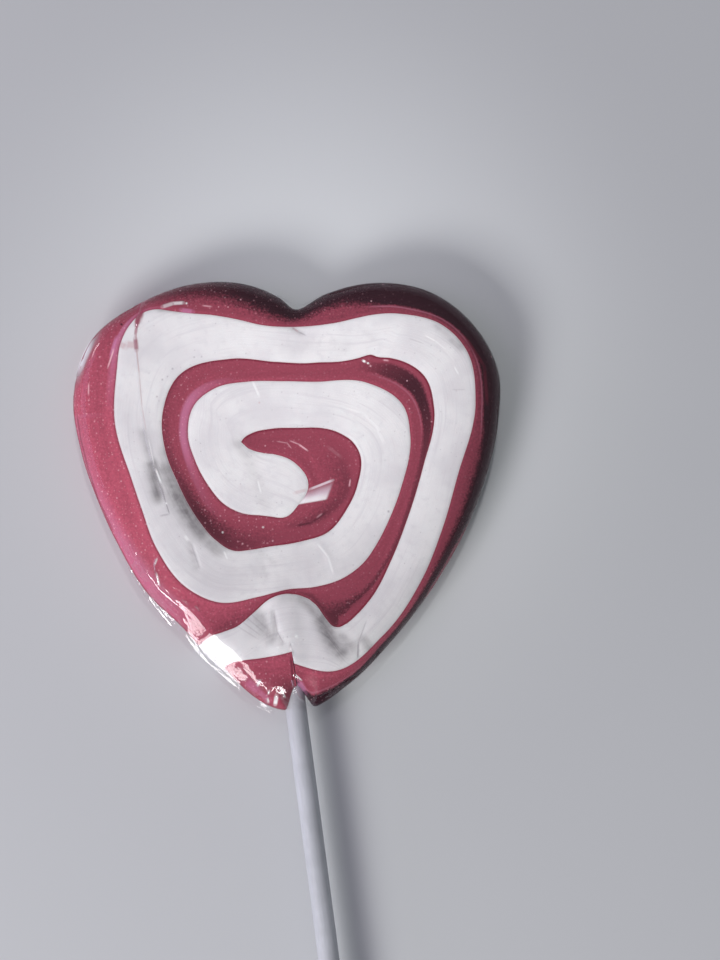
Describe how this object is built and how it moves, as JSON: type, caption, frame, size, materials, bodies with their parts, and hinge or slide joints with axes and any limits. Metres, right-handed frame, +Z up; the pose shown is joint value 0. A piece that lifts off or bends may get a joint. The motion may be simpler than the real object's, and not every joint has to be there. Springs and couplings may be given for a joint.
{
  "type": "heart-shaped swirl lollipop",
  "caption": "Flat heart-shaped hard-candy lollipop: a white and red rope wound in a swirl and pressed flat, on a straight white paper stick, in tight clear film.",
  "frame": {"origin": "on the flat underside of the film, under the middle of the heart", "axes": "+Z up through the swirl's face, +Y towards the notch of the heart, the stick points to -Y and leans a little towards +X"},
  "size_m": [0.0768, 0.1764, 0.0112],
  "materials": {
    "white_sugar": "pulled white sugar, satin with a soft gloss, faint streaks along the ribbon",
    "red_sugar": "clear raspberry-red boiled sugar, glossy, with fine bubbles",
    "paper_stick": "rolled white paper, matt",
    "clear_film": "clear shrink film, glossy, with fine wrinkles"
  },
  "bodies": {
    "root": {"white_ribbon": "white_sugar", "red_ribbon": "red_sugar", "red_tail": "red_sugar", "stick": "paper_stick", "film": "clear_film"}
  },
  "joints": []
}
